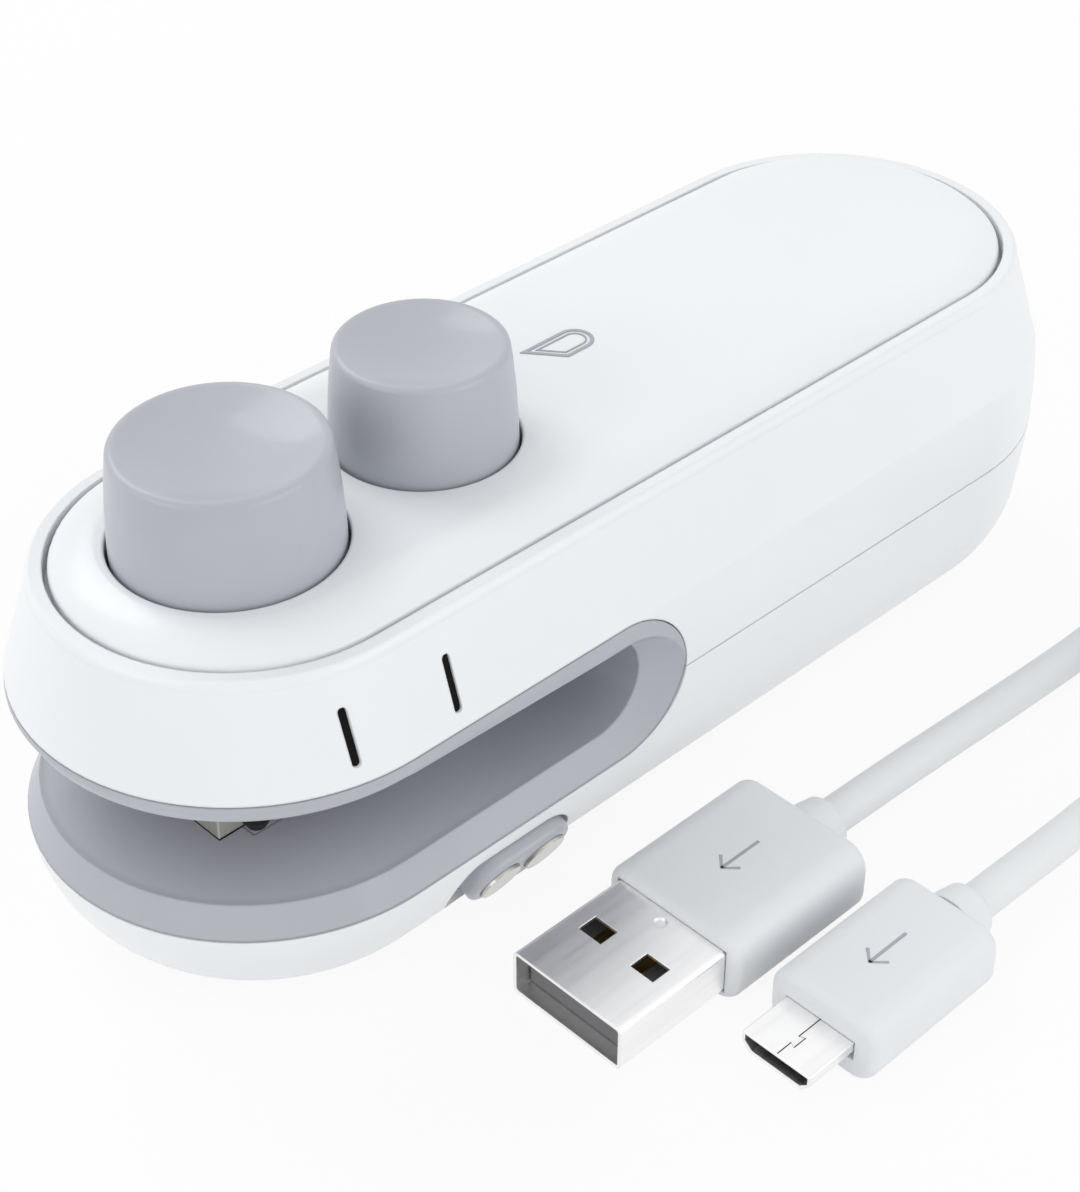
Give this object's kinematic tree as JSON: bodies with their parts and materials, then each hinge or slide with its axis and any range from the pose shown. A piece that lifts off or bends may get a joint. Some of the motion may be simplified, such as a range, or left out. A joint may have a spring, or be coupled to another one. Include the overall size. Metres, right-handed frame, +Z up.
{
  "type": "mini bag sealer",
  "caption": "Handheld rechargeable bag sealer: rounded white body, open gray-lined jaw, two press buttons for heat sealing and cutting film, with a separate charging lead.",
  "frame": {"origin": "centre of the keel's flat, where the sealer stands, midway along the body", "axes": "+X towards the rounded rear with the charging socket, -X out of the mouth of the jaws, +Z up through the buttons, -Y the side with the marker slots and the magnet pad"},
  "size_m": [0.1346, 0.0957, 0.0452],
  "materials": {
    "casing_white": "satin",
    "trim_gray": "fine matte",
    "pad_gray": "soft matte",
    "head_steel": "satin",
    "heater_black": "matte",
    "post_black": "matte",
    "ribbon_metal": "satin",
    "frame_dark": "matte",
    "spring_steel": "polished",
    "blade_steel": "ground",
    "magnet_nickel": "polished",
    "contact_gold": "bright",
    "cell_wrap": "gloss",
    "board_green": "satin",
    "chip_black": "matte",
    "plug_metal": "bright",
    "lamp_clear": "clear",
    "lead_red": "satin",
    "tongue_gray": "satin",
    "tongue_black": "satin",
    "plug_white": "fine satin",
    "cord_white": "satin",
    "tie_white": "matte"
  },
  "bodies": {
    "case": {"upper_shell": "casing_white", "lower_shell": "casing_white", "top_cover": "casing_white", "throat_liner": "trim_gray", "blade_guard": "trim_gray", "cutting_anvil": "trim_gray", "magnet_pad": "trim_gray", "sealing_pad": "pad_gray", "heat_shield": "heater_black", "film_posts": "post_black", "guide_frame": "frame_dark", "battery_cradle": "frame_dark", "board_screws": "spring_steel", "shell_screws": "spring_steel", "pad_magnets": "magnet_nickel", "contact_pads": "contact_gold", "usb_contacts": "contact_gold", "heater_terminals": "contact_gold", "battery_cell": "cell_wrap", "circuit_board": "board_green", "contact_board": "board_green", "board_parts": "chip_black", "micro_usb_socket": "plug_metal", "usb_plug_shell": "plug_metal", "micro_plug_shell": "plug_metal", "charge_lamp": "lamp_clear", "heater_leads": "lead_red", "usb_plug_tongue": "tongue_gray", "micro_plug_tongue": "tongue_black", "usb_plug_body": "plug_white", "micro_plug_body": "plug_white", "usb_collar": "plug_white", "micro_collar": "plug_white", "cable_to_usb": "cord_white", "cable_coil": "cord_white", "cable_to_micro": "cord_white", "coil_tie": "tie_white"},
    "seal_press": {"seal_button": "trim_gray", "seal_stem": "frame_dark", "seal_spring": "spring_steel", "press_head": "head_steel", "heater_plate": "heater_black", "ribbon_clamps": "ribbon_metal", "contact_ring": "contact_gold"},
    "cutter_press": {"cutter_button": "trim_gray", "cutter_stem": "frame_dark", "cutter_spring": "spring_steel", "blade_holder": "frame_dark", "cutter_blade": "blade_steel"}
  },
  "joints": [
    {"name": "seal_press_slide", "type": "slide", "parent": "case", "child": "seal_press", "axis": [0, 0, -1], "range_m": [0, 0.00435], "stiffness_N_per_m": 400, "springref_m": -0.004, "deforming": ["seal_spring"]},
    {"name": "cutter_press_slide", "type": "slide", "parent": "case", "child": "cutter_press", "axis": [0, 0, -1], "range_m": [0, 0.0048], "stiffness_N_per_m": 300, "springref_m": -0.003, "deforming": ["cutter_spring"]}
  ]
}
